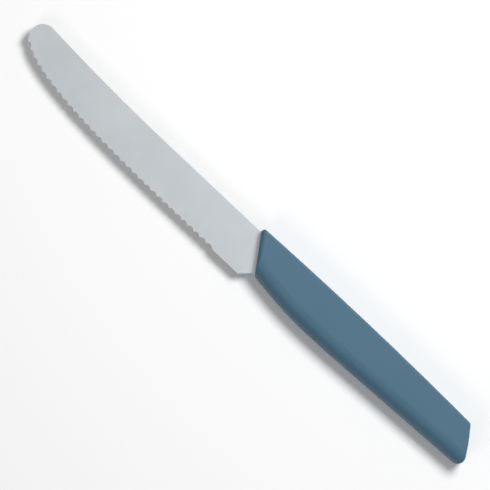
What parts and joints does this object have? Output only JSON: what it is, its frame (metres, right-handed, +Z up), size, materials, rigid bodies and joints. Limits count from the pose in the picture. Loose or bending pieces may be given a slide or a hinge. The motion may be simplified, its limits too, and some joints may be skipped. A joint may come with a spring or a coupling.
{
  "type": "tomato knife",
  "caption": "Small table knife with a round-tipped wavy-edged steel blade and a flat-sided moulded handle with slanted ends.",
  "frame": {"origin": "middle of the flat side of the handle that the knife lies on", "axes": "+X towards the tip, +Y from the spine towards the cutting edge, +Z up out of the blade's left face"},
  "size_m": [0.2189, 0.0191, 0.012],
  "materials": {
    "blade_steel": "fine satin, ground across the blade",
    "handle_plastic": "muted blue, fine spark-eroded texture"
  },
  "bodies": {
    "root": {"blade": "blade_steel", "handle": "handle_plastic"}
  },
  "joints": []
}
